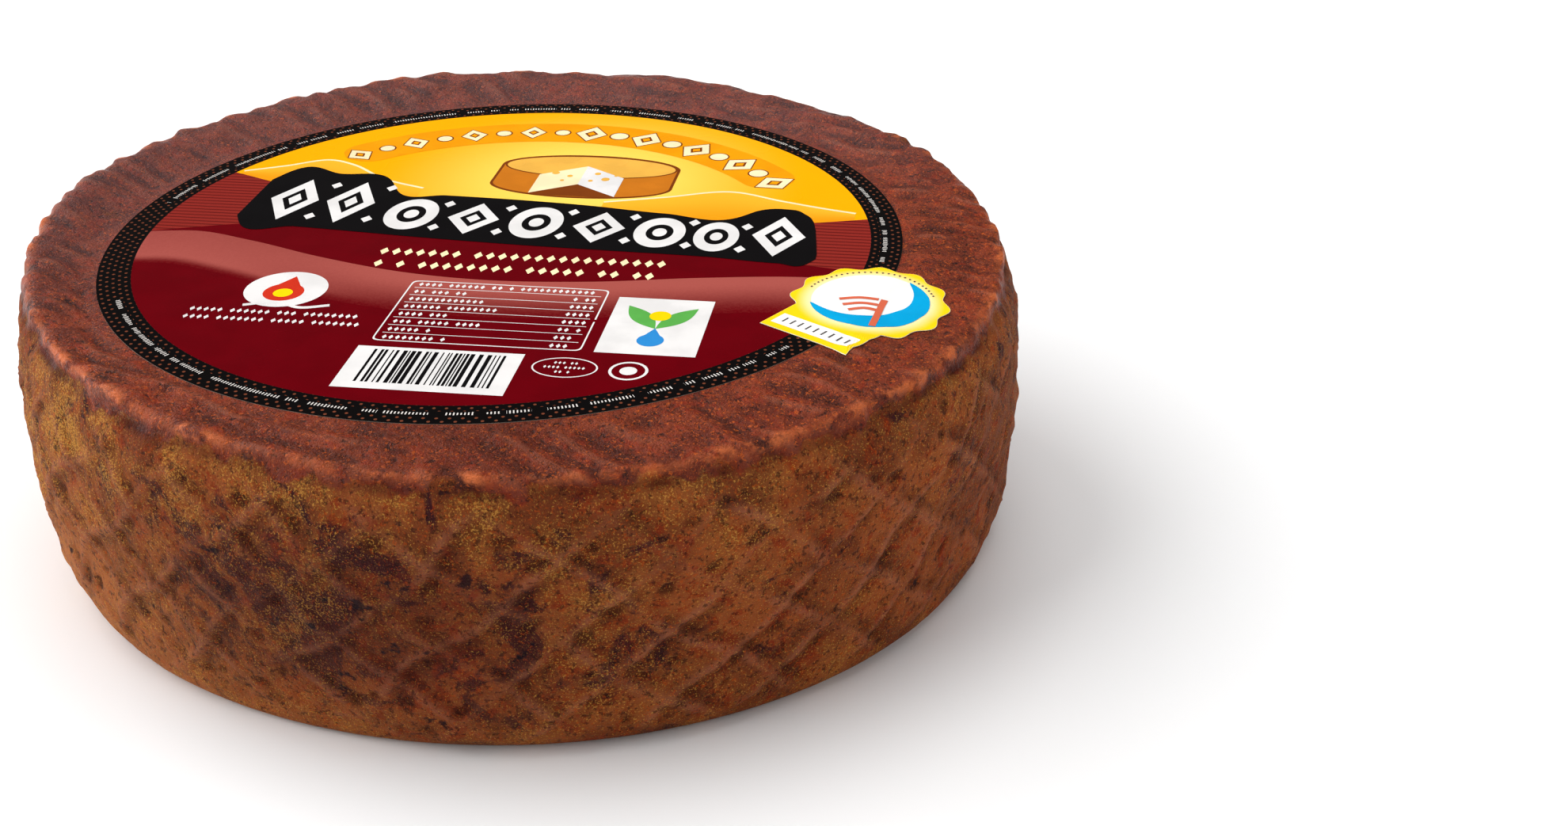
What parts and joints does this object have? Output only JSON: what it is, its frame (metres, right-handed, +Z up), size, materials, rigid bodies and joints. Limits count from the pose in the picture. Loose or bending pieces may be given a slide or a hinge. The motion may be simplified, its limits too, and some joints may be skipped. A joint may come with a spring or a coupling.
{
  "type": "cheese wheel",
  "caption": "Whole wheel of cured cheese with a dark oiled rind, flat faces and a bulging side, carrying a large round paper label and a small scalloped seal sticker on top.",
  "frame": {"origin": "centre of the flat face that the wheel stands on", "axes": "+Z up along the wheel's axis, +X along a line of print on the main label, +Y towards the main label's top edge"},
  "size_m": [0.256, 0.256, 0.078],
  "materials": {
    "rind": "oiled, paprika-rubbed cheese rind, satin on top and duller and grainy on the side",
    "label_paper": "coated printed paper, semi-gloss",
    "seal_paper": "coated printed paper, semi-gloss"
  },
  "bodies": {
    "root": {"wheel": "rind", "main_label": "label_paper", "seal_label": "seal_paper"}
  },
  "joints": []
}
